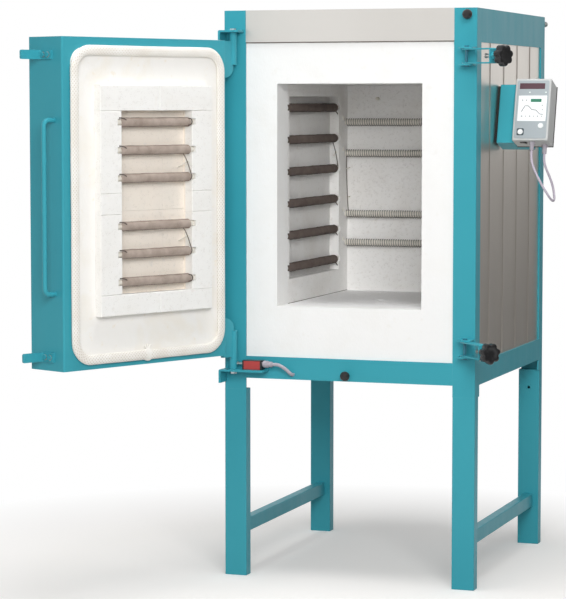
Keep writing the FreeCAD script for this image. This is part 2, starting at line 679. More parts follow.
def lining():
    """White front collar, brick walls with element pockets, and the back-up boards."""
    gap = LINING_GAP
    collar = box(
        (-POST_INNER_X, POST_INNER_X), (COLLAR_SETBACK, COLLAR_BACK - gap),
        (LINING_BASE, TOP_RAIL_Z + COLLAR_LAP),
    )
    mouth = box(
        (-CHAMBER_HALF, CHAMBER_HALF), (0, COLLAR_BACK + 1), (CHAMBER_FLOOR_Z, CHAMBER_TOP_Z)
    )
    keep("front_collar", collar.cut(mouth))

    deep = (COLLAR_BACK, LINING_BACK)
    wide = (-LINING_HALF, LINING_HALF)
    floor = box(wide, deep, (BRICK_FLOOR_Z, CHAMBER_FLOOR_Z))
    channel = rod(
        (0, INLET_HOLE_Y, LINING_BASE - 1), (0, INLET_HOLE_Y, CHAMBER_FLOOR_Z + 1),
        AIR_CHANNEL_RADIUS,
    )
    keep("floor_bricks", floor.cut(channel))
    roof = box(wide, deep, (CHAMBER_TOP_Z, CHAMBER_TOP_Z + BRICK))
    flue = rod((0, VENT_Y, CHAMBER_TOP_Z - 1), (0, VENT_Y, HEIGHT), FLUE_RADIUS)
    keep("roof_bricks", roof.cut(flue))

    wall = box(
        (CHAMBER_HALF, LINING_HALF), deep, (CHAMBER_FLOOR_Z, CHAMBER_TOP_Z - gap)
    )
    pocket = box(
        (CHAMBER_HALF - 1, CHAMBER_HALF + SIDE_POCKET_DEPTH),
        (SIDE_ELEMENT_START - FIT * 2, SIDE_ELEMENT_END + FIT * 2),
        (SIDE_ROWS[-1] - SIDE_POCKET_MARGIN, SIDE_ROWS[0] + SIDE_POCKET_MARGIN),
    )
    cutters = [pocket]
    centre = CHAMBER_HALF + ELEMENT_RADIUS + FIT
    notch = TUBE_RADIUS
    ends = (SIDE_ELEMENT_START - NOTCH_LENGTH, SIDE_ELEMENT_END + NOTCH_LENGTH)
    for z in SIDE_ROWS:
        cutters.append(rod((centre, COLLAR_BACK - 1, z), (centre, ends[1], z), notch))
        cutters.append(box(
            (CHAMBER_HALF - 1, centre), (COLLAR_BACK - 1, ends[1]), (z - notch, z + notch)
        ))
    back_y = BACK_ELEMENT_Y
    for z in BACK_ROWS:
        cutters.append(rod(
            (CHAMBER_HALF - 1, back_y, z), (CHAMBER_HALF + NOTCH_LENGTH, back_y, z), notch
        ))
    wall = without(wall, cutters)
    keep("side_wall_bricks", mirrored(wall), wall)

    back = box(
        (-CHAMBER_HALF + gap, CHAMBER_HALF - gap), (CHAMBER_BACK_Y, LINING_BACK),
        (CHAMBER_FLOOR_Z, CHAMBER_TOP_Z - gap),
    )
    probe_hole = rod(
        (THERMOCOUPLE_X, CHAMBER_BACK_Y - 1, THERMOCOUPLE_Z),
        (THERMOCOUPLE_X, REAR_Y + 1, THERMOCOUPLE_Z), THERMOCOUPLE_RADIUS + FIT,
    )
    keep("back_wall_bricks", back.cut(probe_hole))

    board_back = REAR_Y - STEEL
    side_x = (LINING_HALF, INNER_HALF - SHEET)
    board_z = (LINING_BASE, ROOF_Z - SHEET)
    side_board = box(side_x, (POST_SIDE, board_back), board_z)
    inner_x = (-LINING_HALF, LINING_HALF)
    boards = [
        side_board,
        mirrored(side_board),
        box(inner_x, (COLLAR_BACK, board_back), (board_z[0], BRICK_FLOOR_Z)).cut(channel),
        box(inner_x, (COLLAR_BACK, board_back), (CHAMBER_TOP_Z + BRICK, board_z[1])).cut(flue),
        box(inner_x, (LINING_BACK, board_back), (BRICK_FLOOR_Z, CHAMBER_TOP_Z + BRICK)).cut(
            probe_hole
        ),
    ]
    keep("backup_insulation", *boards)


def element(start, end, radius):
    """A wound coil, drawn as the sleeve that its turns fill, and the ceramic tube inside."""
    a = Vector(*start)
    b = Vector(*end)
    way = (b - a).normalize() * (NOTCH_LENGTH - 1)
    coil = pipe(start, end, radius, TUBE_RADIUS)
    tube = pipe(tuple(a - way), tuple(b + way), TUBE_RADIUS, TUBE_BORE)
    return coil, tube


def elements():
    """Six wound rows on each side wall and four on the back wall, and the thermocouple."""
    side_coils = []
    tubes = []
    x = CHAMBER_HALF + ELEMENT_RADIUS + FIT
    for side in (-1, 1):
        for z in SIDE_ROWS:
            coil, tube = element(
                (side * x, SIDE_ELEMENT_START, z), (side * x, SIDE_ELEMENT_END, z), ELEMENT_RADIUS
            )
            side_coils.append(coil)
            tubes.append(tube)
    keep("side_wall_coils", *side_coils)
    back_coils = []
    reach = CHAMBER_HALF - BACK_ELEMENT_SHORT
    for z in BACK_ROWS:
        coil, tube = element(
            (-reach, BACK_ELEMENT_Y, z), (reach, BACK_ELEMENT_Y, z), BACK_ELEMENT_RADIUS
        )
        back_coils.append(coil)
        tubes.append(tube)
    keep("back_wall_coils", *back_coils)
    keep("element_tubes", *tubes)

    place = (THERMOCOUPLE_X, THERMOCOUPLE_Z)
    tip = CHAMBER_BACK_Y - THERMOCOUPLE_REACH
    sheath = rod(
        (place[0], tip + THERMOCOUPLE_RADIUS, place[1]), (place[0], REAR_Y, place[1]),
        THERMOCOUPLE_RADIUS,
    )
    nose = Part.makeSphere(
        THERMOCOUPLE_RADIUS, Vector(place[0], tip + THERMOCOUPLE_RADIUS, place[1])
    )
    head = rod(
        (place[0], REAR_Y - STEEL, place[1]), (place[0], REAR_Y + THERMOCOUPLE_HEAD, place[1]),
        THERMOCOUPLE_HEAD_RADIUS,
    )
    keep("thermocouple", joined([sheath, nose, head]))


def door_point(u, v):
    """Shut door: u runs from its hinge side, v from its inner plane outwards."""
    return DOOR_HINGE_SIDE_X + u, DOOR_INNER_Y - v


def door_box(u, v, z):
    """A block given in the shut door's own directions."""
    x0, y1 = door_point(u[0], v[0])
    x1, y0 = door_point(u[1], v[1])
    return box((x0, x1), (y0, y1), z)


def swing_door(shape):
    """Turn a piece of the shut door to the place where the door stands open."""
    turned = shape.copy()
    turned.rotate(Vector(PIN_X, PIN_Y, 0), Z_AXIS, -DOOR_OPEN_ANGLE)
    return turned


def door_shell():
    """Steel tray of the door, its insulation and the rope seal round its inner face."""
    v_outer = DOOR_THICKNESS
    height = (DOOR_BOTTOM, DOOR_TOP)
    tray = door_box((0, DOOR_WIDTH), (0, v_outer), height)
    tray = rounded(
        tray, DOOR_EDGE_OUTER, Z_AXIS, lambda middle: middle.y < DOOR_INNER_Y - v_outer + 1
    )
    tray = rounded(
        tray, DOOR_EDGE_INNER, Z_AXIS, lambda middle: middle.y > DOOR_INNER_Y - 0.1
    )
    t = DOOR_SHEET
    inside_z = (DOOR_BOTTOM + t, DOOR_TOP - t)
    tray = tray.cut(door_box((t, DOOR_WIDTH - t), (t, v_outer - t), inside_z))

    def window(v):
        opening = door_box(
            (DOOR_RIM, DOOR_WIDTH - DOOR_RIM), v, (DOOR_BOTTOM + DOOR_RIM, DOOR_TOP - DOOR_RIM)
        )
        return rounded(opening, DOOR_RIM_CORNER, Y_AXIS)

    tray = tray.cut(window((-1, t + 1)))
    keep("door_case", swing_door(tray))

    gap = LINING_GAP
    block = door_box(
        (t, DOOR_WIDTH - t), (t, v_outer - t), (inside_z[0], inside_z[1] - gap)
    )
    fibre = joined([block, window((0, t))])
    plug_u = (PLUG_CENTRE - PLUG_WIDTH / 2, PLUG_CENTRE + PLUG_WIDTH / 2)
    seat = door_box(
        (plug_u[0] - gap, plug_u[1] + gap), (-1, PLUG_DEPTH - PLUG_PROUD),
        (PLUG_BOTTOM - gap, PLUG_TOP + gap),
    )
    keep("door_insulation", swing_door(fibre.cut(seat)))

    u = (GASKET_MARGIN_HINGE, DOOR_WIDTH - GASKET_MARGIN_FREE)
    z = (DOOR_BOTTOM + GASKET_MARGIN_BOTTOM, DOOR_TOP - GASKET_MARGIN_TOP)
    w = GASKET_WIDTH
    outer = rounded(door_box(u, (-GASKET_PROUD, 0), z), GASKET_CORNER, Y_AXIS)
    inner = rounded(
        door_box((u[0] + w, u[1] - w), (-GASKET_PROUD - 1, 1), (z[0] + w, z[1] - w)),
        GASKET_CORNER - w, Y_AXIS,
    )
    rope = outer.cut(inner)
    face_y = DOOR_INNER_Y + GASKET_PROUD
    crown = [edge for edge in rope.Edges if abs(edge.CenterOfMass.y - face_y) < 0.01]
    rope = rope.makeFillet(GASKET_PROUD * 0.6, crown)
    keep("door_gasket", swing_door(rope))


def door_plug():
    """Raised block of bricks with the pocket for the door's own heating elements."""
    u = (PLUG_CENTRE - PLUG_WIDTH / 2, PLUG_CENTRE + PLUG_WIDTH / 2)
    pocket_u = (PLUG_CENTRE - POCKET_WIDTH / 2, PLUG_CENTRE + POCKET_WIDTH / 2)
    front = (-PLUG_PROUD, POCKET_DEPTH - PLUG_PROUD)
    back = (front[1], PLUG_DEPTH - PLUG_PROUD)
    half_gap = LINING_GAP / 2
    axis_v = ELEMENT_RADIUS + FIT - PLUG_PROUD
    notch = TUBE_RADIUS
    ends = (pocket_u[0] - NOTCH_LENGTH, pocket_u[1] + NOTCH_LENGTH)
    axis_y = DOOR_INNER_Y - axis_v
    front_y = DOOR_INNER_Y + PLUG_PROUD
    notches = []
    for z in DOOR_ROWS:
        x0 = DOOR_HINGE_SIDE_X + ends[0]
        x1 = DOOR_HINGE_SIDE_X + ends[1]
        notches.append(rod((x0, axis_y, z), (x1, axis_y, z), notch))
        notches.append(box((x0, x1), (axis_y, front_y + 1), (z - notch, z + notch)))

    def brick(across, up, notched):
        block = door_box(
            (across[0] + half_gap, across[1] - half_gap), front,
            (up[0] + half_gap, up[1] - half_gap),
        )
        face = [edge for edge in block.Edges if abs(edge.CenterOfMass.y - front_y) < 0.01]
        block = block.makeChamfer(BRICK_EDGE, face)
        if notched:
            block = without(block, [
                n for n in notches if n.BoundBox.ZMax > up[0] and n.BoundBox.ZMin < up[1]
            ])
        return block

    bricks = []
    course_joint = PLUG_CENTRE - COURSE_JOINT_SHIFT
    for up in ((PLUG_BOTTOM, POCKET_BOTTOM), (POCKET_TOP, PLUG_TOP)):
        bricks.append(brick((u[0], course_joint), up, False))
        bricks.append(brick((course_joint, u[1]), up, False))
    levels = (POCKET_BOTTOM, SIDE_JOINTS[0], SIDE_JOINTS[1], POCKET_TOP)
    for across in ((u[0], pocket_u[0]), (pocket_u[1], u[1])):
        for low, high in zip(levels, levels[1:]):
            bricks.append(brick(across, (low, high), True))
    slab_joint = PLUG_CENTRE - SLAB_JOINT_SHIFT
    slab_level = PLUG_BOTTOM + SLAB_JOINT_RISE
    for across in ((u[0], slab_joint - half_gap), (slab_joint + half_gap, u[1])):
        for up in ((PLUG_BOTTOM, slab_level - half_gap), (slab_level + half_gap, PLUG_TOP)):
            bricks.append(door_box(across, back, up))
    keep("door_plug_bricks", *[swing_door(shape) for shape in bricks])

    coils = []
    tubes = []
    x0 = DOOR_HINGE_SIDE_X + pocket_u[0] + 1
    x1 = DOOR_HINGE_SIDE_X + pocket_u[1] - 1
    for z in DOOR_ROWS:
        coil, tube = element((x0, axis_y, z), (x1, axis_y, z), ELEMENT_RADIUS)
        coils.append(swing_door(coil))
        tubes.append(swing_door(tube))
    keep("door_coils", *coils)
    keep("door_element_tubes", *tubes)


def cam(low):
    """Cam on the lower knuckle: it pushes the switch plunger in evenly as the door shuts."""
    whole = DOOR_OPEN_ANGLE + DOOR_FURTHER
    rise = CAM_RISE / DOOR_OPEN_ANGLE
    steps = 16
    points = []
    for i in range(steps + 1):
        turned = -DOOR_FURTHER + whole * i / steps
        angle = math.radians(DOOR_OPEN_ANGLE - turned)
        radius = CAM_RADIUS + rise * turned
        points.append(Vector(
            PIN_X + radius * math.cos(angle), PIN_Y + radius * math.sin(angle), low
        ))
    curve = Part.BSplineCurve()
    curve.interpolate(points)
    closing = [points[-1], Vector(PIN_X, PIN_Y - 2, low), points[0]]
    face = Part.Face(Part.Wire([curve.toShape()] + Part.makePolygon(closing).Edges))
    lobe = face.extrude(Vector(0, 0, CAM_HEIGHT))
    hub = rod((PIN_X, PIN_Y, low), (PIN_X, PIN_Y, low + CAM_HEIGHT), PIN_RADIUS + CAM_HUB)
    return joined([lobe, hub])


def hinges():
    """Fixed plates on the left post, the pins, and the door's two curved arms."""
    plate_y = (PIN_Y - HINGE_PLATE_PAST_PIN, 0)

    def plate(top, right, lip):
        flat = box((HINGE_PLATE_LEFT, right), plate_y, (top - HINGE_PLATE, top))
        flat = rounded(flat, HINGE_PLATE_CORNER, Z_AXIS, lambda m: m.x > right - 1 and m.y < -1)
        side = box(
            (HINGE_PLATE_LEFT, HINGE_PLATE_LEFT + HINGE_PLATE), plate_y, (top - lip, top)
        )
        bent = rounded(
            joined([flat, side]), HINGE_PLATE * 0.8, Y_AXIS,
            lambda m: m.x < HINGE_PLATE_LEFT + 1 and m.z > top - 1,
        )
        hole = rod((PIN_X, PIN_Y, top - lip), (PIN_X, PIN_Y, top + 1), PIN_RADIUS + FIT)
        return bent.cut(hole)

    keep(
        "hinge_brackets",
        plate(UPPER_PLATE_TOP, UPPER_PLATE_RIGHT, UPPER_LIP),
        plate(LOWER_PLATE_TOP, LOWER_PLATE_RIGHT, LOWER_LIP),
    )

    upper_low = DOOR_TOP - ARM_LENGTH + ARM_TAPER * 0.6
    upper_high = UPPER_PLATE_TOP - HINGE_PLATE - EAR_GAP
    lower_low = LOWER_PLATE_TOP + EAR_GAP
    lower_high = DOOR_BOTTOM + ARM_LENGTH - ARM_TAPER * 0.6
    head_radius = PIN_RADIUS + PIN_HEAD
    head = PIN_RADIUS
    nut_z = LOWER_PLATE_TOP - HINGE_PLATE - PIN_NUT
    pins = [
        joined([
            rod((PIN_X, PIN_Y, upper_low), (PIN_X, PIN_Y, UPPER_PLATE_TOP + head), PIN_RADIUS),
            rod((PIN_X, PIN_Y, UPPER_PLATE_TOP), (PIN_X, PIN_Y, UPPER_PLATE_TOP + head), head_radius),
        ]),
        joined([
            rod((PIN_X, PIN_Y, nut_z), (PIN_X, PIN_Y, lower_high), PIN_RADIUS),
            hexagon((PIN_X, PIN_Y, nut_z), head_radius, PIN_NUT),
        ]),
    ]
    latch_pins = []
    for z in LATCH_ROWS:
        low = STRAP_HALF_HEIGHT + EAR_GAP + EAR_PLATE
        high = low + LATCH_PIN_CAP
        latch_pins.append(joined([
            rod((LATCH_X, LATCH_Y, z - high), (LATCH_X, LATCH_Y, z + high), LATCH_PIN_RADIUS),
            rod((LATCH_X, LATCH_Y, z + low), (LATCH_X, LATCH_Y, z + high), LATCH_PIN_CAP_RADIUS),
            rod((LATCH_X, LATCH_Y, z - low), (LATCH_X, LATCH_Y, z - high), LATCH_PIN_CAP_RADIUS),
        ]))
    keep("pivot_pins", *(pins + latch_pins))

    bore = PIN_RADIUS + RUNNING_FIT
    arm_y = (PIN_Y - ARM_THICKNESS / 2, PIN_Y + ARM_THICKNESS / 2)
    side_x = DOOR_HINGE_SIDE_X
    gusset_top = DOOR_TOP - 2
    gusset_bottom = LOWER_PLATE_TOP + EAR_GAP + CAM_HEIGHT + 8

    def arm(knuckle, gusset, tip, root, cam_low):
        """Knuckle round the pin and a gusset whose free edge curves back to the door."""
        base, end = gusset
        sense = 1 if end > base else -1
        start = Vector(PIN_X, 0, tip)
        finish = Vector(side_x, 0, root)
        middle = Vector(PIN_X + ARM_BELLY, 0, tip + sense * ARM_TAPER * 0.55)
        curve = Part.Arc(start, middle, finish).toShape()
        corners = [finish, Vector(side_x, 0, base), Vector(PIN_X, 0, base), start]
        wire = Part.Wire([curve] + Part.makePolygon(corners).Edges)
        web = Part.Face(wire).extrude(Vector(0, ARM_THICKNESS, 0))
        web.translate(Vector(0, arm_y[0], 0))
        shapes = [rod((PIN_X, PIN_Y, knuckle[0]), (PIN_X, PIN_Y, knuckle[1]), KNUCKLE_RADIUS), web]
        if cam_low is not None:
            shapes.append(cam(cam_low))
        whole = joined(shapes)
        hole = rod((PIN_X, PIN_Y, knuckle[0] - 50), (PIN_X, PIN_Y, knuckle[1] + 50), bore)
        return whole.cut(hole)

    upper = arm(
        (upper_low, upper_high), (gusset_top, DOOR_TOP - ARM_LENGTH),
        upper_low + ARM_TIP, DOOR_TOP - ARM_LENGTH, None,
    )
    lower = arm(
        (lower_low + CAM_HEIGHT, lower_high), (gusset_bottom, DOOR_BOTTOM + ARM_LENGTH),
        lower_high - ARM_TIP, DOOR_BOTTOM + ARM_LENGTH, lower_low,
    )
    keep("door_hinge_arms", swing_door(upper), swing_door(lower))


def hexagon(base, radius, height):
    """A hexagonal nut or bolt head standing on a point."""
    x, y, z = base
    flats = radius / math.cos(math.pi / 6)
    points = [
        (x + flats * math.cos(math.pi / 3 * i), y + flats * math.sin(math.pi / 3 * i))
        for i in range(6)
    ]
    return sketch(points, "xy", z, z + height)


def handle_and_lugs():
    """Bent-bar handle and the two bolted lugs that the latches pull on."""
    free_x = DOOR_FREE_SIDE_X
    y = DOOR_INNER_Y - HANDLE_FROM_INNER
    out_x = free_x + HANDLE_STANDOFF
    bend = HANDLE_BEND
    slant = bend * (1 - math.sqrt(0.5))
    low, high = HANDLE_BOTTOM, HANDLE_TOP

    def line(a, b):
        return Part.LineSegment(Vector(a[0], y, a[1]), Vector(b[0], y, b[1])).toShape()

    def arc(a, b, c):
        return Part.Arc(*[Vector(p[0], y, p[1]) for p in (a, b, c)]).toShape()

    path = Part.Wire([
        line((free_x, low), (out_x - bend, low)),
        arc((out_x - bend, low), (out_x - slant, low + slant), (out_x, low + bend)),
        line((out_x, low + bend), (out_x, high - bend)),
        arc((out_x, high - bend), (out_x - slant, high - slant), (out_x - bend, high)),
        line((out_x - bend, high), (free_x, high)),
    ])
    ring = Part.Wire(Part.makeCircle(HANDLE_RADIUS, Vector(free_x, y, low), X_AXIS))
    keep("door_handle", swing_door(path.makePipeShell([ring], True, False)))

    lugs = []
    for z in LATCH_ROWS:
        up = (z - LUG_HEIGHT / 2, z + LUG_HEIGHT / 2)
        near_y = DOOR_INNER_Y - LUG_FROM_INNER
        far_y = DOOR_INNER_Y - LUG_TO
        foot = box((free_x, free_x + LUG_THICKNESS), (far_y, near_y), up)
        tongue = box((free_x, free_x + LUG_REACH), (far_y, far_y + LUG_THICKNESS), up)
        tongue = rounded(tongue, LUG_CORNER, Y_AXIS, lambda m: m.x > free_x + LUG_REACH - 1)
        bracket = rounded(
            joined([foot, tongue]), LUG_THICKNESS * 0.9, Z_AXIS,
            lambda m: abs(m.x - free_x - LUG_THICKNESS) < 0.1 and abs(m.y - far_y - LUG_THICKNESS) < 0.1,
        )
        heads = []
        for v in LUG_BOLT_PLACES:
            place = Vector(free_x + LUG_THICKNESS, DOOR_INNER_Y - v, z)
            head = hexagon((0, 0, 0), LUG_BOLT_RADIUS, LUG_BOLT_HEAD)
            head.Placement = FreeCAD.Placement(place, Rotation(Y_AXIS, 90))
            heads.append(head)
        lugs.append(swing_door(joined([bracket] + heads)))
    keep("door_lugs", *lugs)


def latch(index):
    """One latch: bracket, swinging strap, clamping screw and star knob, made shut."""
    z = LATCH_ROWS[index]
    half = STRAP_HALF_HEIGHT
    ear = (half + EAR_GAP, half + EAR_GAP + EAR_PLATE)
    right = HALF_WIDTH - BRACKET_EDGE
    left = 2 * LATCH_X - right
    parts = [box((left, right), (-EAR_PLATE, 0), (z - BRACKET_HALF_HEIGHT, z + BRACKET_HALF_HEIGHT))]
    for side in (-1, 1):
        up = sorted((z + side * ear[0], z + side * ear[1]))
        tab = box((left, right), (-EAR_FRONT, 0), up)
        parts.append(rounded(tab, EAR_CORNER, Z_AXIS, lambda m: m.y < -EAR_FRONT + 1))
    bracket = joined(parts)
    pin_hole = rod(
        (LATCH_X, LATCH_Y, z - ear[1] - 1), (LATCH_X, LATCH_Y, z + ear[1] + 1),
        LATCH_PIN_RADIUS + FIT,
    )
    bracket = bracket.cut(pin_hole)

    w = STRAP_HALF_WIDTH
    x = (LATCH_X - w, LATCH_X + w)
    end_y = LATCH_Y - STRAP_REACH
    sides = []
    for side in (-1, 1):
        up = sorted((z + side * half, z + side * (half - STRAP_PLATE)))
        flat = box(x, (end_y, LATCH_Y), up)
        eye = rod((LATCH_X, LATCH_Y, up[0]), (LATCH_X, LATCH_Y, up[1]), w)
        sides.append(joined([flat, eye]))
    web = box(x, (end_y, end_y + STRAP_PLATE), (z - half, z + half))
    strap = joined(sides + [web])
    strap = rounded(
        strap, STRAP_PLATE * 0.9, X_AXIS,
        lambda m: m.y < end_y + 0.1 and abs(abs(m.z - z) - half) < 0.1,
    )
    nut = hexagon((0, 0, 0), NUT_RADIUS, NUT_HEIGHT)
    nut.Placement = FreeCAD.Placement(Vector(LATCH_X, end_y, z), Rotation(X_AXIS, 90))
    bores = [
        rod((LATCH_X, LATCH_Y, z - half - 1), (LATCH_X, LATCH_Y, z + half + 1),
            LATCH_PIN_RADIUS + RUNNING_FIT),
        rod((LATCH_X, end_y - NUT_HEIGHT - 1, z), (LATCH_X, end_y + STRAP_PLATE + 1, z),
            SCREW_RADIUS + RUNNING_FIT),
    ]
    strap = without(joined([strap, nut]), bores)

    def along(near, far, radius):
        return rod((LATCH_X, LATCH_Y - near, z), (LATCH_X, LATCH_Y - far, z), radius)

    hub_start = STAR_FROM_PIN - STAR_HUB
    screw = joined([
        along(SCREW_TIP, SCREW_TIP + SCREW_PAD, SCREW_PAD_RADIUS),
        along(SCREW_TIP, hub_start + STAR_SOCKET - 1, SCREW_RADIUS),
    ])

    outer = along(STAR_FROM_PIN, STAR_FROM_PIN + STAR_THICKNESS, STAR_RADIUS)
    rim = [edge for edge in outer.Edges if edge.Curve.TypeId == "Part::GeomCircle"]
    outer = outer.makeFillet(STAR_EDGE, rim)
    valleys = []
    valley_at = STAR_RADIUS + STAR_VALLEY_RADIUS * 0.45
    for i in range(STAR_LOBES):
        angle = 2 * math.pi * (i + 0.5) / STAR_LOBES
        dx = valley_at * math.cos(angle)
        dz = valley_at * math.sin(angle)
        valleys.append(rod(
            (LATCH_X + dx, LATCH_Y - STAR_FROM_PIN + 1, z + dz),
            (LATCH_X + dx, LATCH_Y - STAR_FROM_PIN - STAR_THICKNESS - 1, z + dz),
            STAR_VALLEY_RADIUS,
        ))
    star = without(outer, valleys)
    star = joined([star, along(hub_start, STAR_FROM_PIN + 1, STAR_HUB_RADIUS)])
    star = star.cut(along(hub_start - 1, hub_start + STAR_SOCKET, SCREW_RADIUS + RUNNING_FIT))

    swung = []
    for shape in (strap, screw, star):
        turned = shape.copy()
        turned.rotate(Vector(LATCH_X, LATCH_Y, 0), Z_AXIS, LATCH_REST_ANGLES[index])
        swung.append(turned)
    return bracket, swung


def latches():
    """Upper and lower latch on the right-hand post."""
    brackets = []
    for index, place in enumerate(("upper", "lower")):
        bracket, swung = latch(index)
        brackets.append(bracket)
        for name, shape in zip(("latch_strap", "latch_screw", "star_knob"), swung):
            keep(name + "_" + place, shape)
    keep("latch_brackets", *brackets)


def ball_knob(x, z):
    """Ball knob with a short neck, at the front end of a pull rod."""
    centre_y = ROD_FRONT - KNOB_RADIUS
    ball = Part.makeSphere(KNOB_RADIUS, Vector(x, centre_y, z))
    neck = rod((x, ROD_FRONT, z), (x, centre_y, z), KNOB_NECK_RADIUS)
    return joined([ball, neck])


def air_slides():
    """Pull rods with slide plates: air inlet under the floor and outlet damper on the roof."""
    half = INLET_PLATE_WIDTH / 2
    y = (INLET_HOLE_Y - INLET_PLATE_LENGTH / 2, INLET_HOLE_Y + INLET_PLATE_LENGTH / 2)
    top = FLOOR_SHEET_Z - FIT
    low = top - INLET_PLATE
    plate = box((-half, half), y, (low, top))
    tab = box(
        (-INLET_TAB / 2, INLET_TAB / 2), (y[0], y[0] + INLET_PLATE), (INLET_Z - INLET_TAB_DROP, low)
    )
    pull = rod((0, ROD_FRONT, INLET_Z), (0, y[0] + INLET_PLATE, INLET_Z), ROD_RADIUS)
    keep("inlet_slide", joined([plate, tab, pull]))
    keep("inlet_knob", ball_knob(0, INLET_Z))

    half = DAMPER_PLATE / 2
    plate_z = ROOF_Z + VENT_COLLAR_HEIGHT + FIT
    lid_top = plate_z + DAMPER_LID
    lid = box((-half, half), (VENT_Y - half, VENT_Y + half), (plate_z, lid_top))
    rod_low = DAMPER_Z - ROD_RADIUS
    bar_y = (VENT_Y - DAMPER_BAR / 2, VENT_Y + DAMPER_BAR / 2)
    clamp_x = (DAMPER_X - DAMPER_CLAMP, DAMPER_X + DAMPER_CLAMP - 1)
    bar = box((DAMPER_BAR_START, clamp_x[1]), bar_y, (lid_top, rod_low + 1))
    clamp = soft_box(
        clamp_x, bar_y, (rod_low - 1, DAMPER_Z + DAMPER_CLAMP), DAMPER_CLAMP_EDGE, Y_AXIS
    )
    pull = rod((DAMPER_X, ROD_FRONT, DAMPER_Z), (DAMPER_X, DAMPER_ROD_END, DAMPER_Z), ROD_RADIUS)
    collar = rod(
        (DAMPER_X, DAMPER_ROD_END - DAMPER_COLLAR, DAMPER_Z),
        (DAMPER_X, DAMPER_ROD_END, DAMPER_Z), DAMPER_COLLAR_RADIUS,
    )
    keep("damper_slide", joined([lid, bar, clamp, pull, collar]))
    keep("damper_knob", ball_knob(DAMPER_X, DAMPER_Z))


def round_path(points):
    """Straight runs joined by arcs as large as their runs allow, and the arcs' radii."""
    places = [Vector(*point) for point in points]
    edges = []
    radii = []
    start = places[0]
    for before, corner, after in zip(places, places[1:], places[2:]):
        back = before - corner
        on = after - corner
        shorter = min(back.Length, on.Length)
        back.normalize()
        on.normalize()
        turn = math.pi - back.getAngle(on)
        tangent = 0.45 * shorter
        radii.append(tangent / math.tan(turn / 2))
        first = corner + back * tangent
        last = corner + on * tangent
        inward = (back + on).normalize()
        depth = radii[-1] * (1 / math.cos(turn / 2) - 1)
        edges.append(Part.LineSegment(start, first).toShape())
        edges.append(Part.Arc(first, corner + inward * depth, last).toShape())
        start = last
    edges.append(Part.LineSegment(start, places[-1]).toShape())
    return Part.Wire(edges), radii


def round_cord(points, radius, name):
    """A cord of one thickness along its route."""
    path, radii = round_path(points)
    way = Vector(*points[1]) - Vector(*points[0])
    ring = Part.Wire(Part.makeCircle(radius, Vector(*points[0]), way))
    cord = path.makePipeShell([ring], True, False)
    expected = math.pi * radius ** 2 * path.Length
    print(name, "length", round(path.Length, 1), "smallest bend", round(min(radii), 1),
          "volume ratio", round(cord.Volume / expected, 4))
    return cord


def door_switch():
    """Red position switch on the lower hinge plate, its plunger, gland and armoured lead."""
    base = LOWER_PLATE_TOP
    axis_z = base + SWITCH_RISE
    y = (PIN_Y - SWITCH_HALF_DEPTH, PIN_Y + SWITCH_HALF_DEPTH)
    body = soft_box((SWITCH_LEFT, SWITCH_RIGHT), y, (base, base + SWITCH_HEIGHT), SWITCH_EDGE, X_AXIS)
    bore = rod(
        (SWITCH_LEFT - 1, PIN_Y, axis_z),
        (SWITCH_LEFT + PLUNGER_LENGTH - PLUNGER_SEAT, PIN_Y, axis_z), PLUNGER_RADIUS + RUNNING_FIT,
    )
    keep("safety_switch", body.cut(bore))
    tip = PIN_X + CAM_RADIUS + FIT
    stem = rod((tip, PIN_Y, axis_z), (tip + PLUNGER_LENGTH, PIN_Y, axis_z), PLUNGER_RADIUS)
    button = rod(
        (tip, PIN_Y, axis_z), (tip + PLUNGER_BUTTON, PIN_Y, axis_z), PLUNGER_RADIUS + BUTTON_LIP
    )
    keep("switch_plunger", joined([stem, button]))

    end_x = SWITCH_RIGHT + SWITCH_GLAND
    gland = joined([
        rod((SWITCH_RIGHT, PIN_Y, axis_z), (end_x, PIN_Y, axis_z), LEAD_RADIUS + SWITCH_GLAND_WALL),
        rod(
            (SWITCH_RIGHT + SWITCH_GLAND_NUT[0], PIN_Y, axis_z),
            (SWITCH_RIGHT + SWITCH_GLAND_NUT[1], PIN_Y, axis_z), LEAD_RADIUS + SWITCH_GLAND_NUT_WALL,
        ),
    ])
    hole_x, hole_z = LEAD_HOLE
    route = [
        (end_x, PIN_Y, axis_z), (end_x + 20, PIN_Y, axis_z), (end_x + 41, PIN_Y + 3, axis_z - 12),
        (hole_x, PIN_Y + 13, hole_z), (hole_x, STEEL + LEAD_ENTRY, hole_z),
    ]
    keep("switch_lead", round_cord(route, LEAD_RADIUS, "switch lead"))
    return gland


def tilt(shape):
    """Lean a piece made in the controller's own directions back to its place."""
    turned = shape.copy()
    turned.rotate(Vector(0, 0, 0), X_AXIS, -CONTROLLER_TILT)
    turned.translate(Vector(CONTROLLER_X, CONTROLLER_Y, CONTROLLER_Z))
    return turned


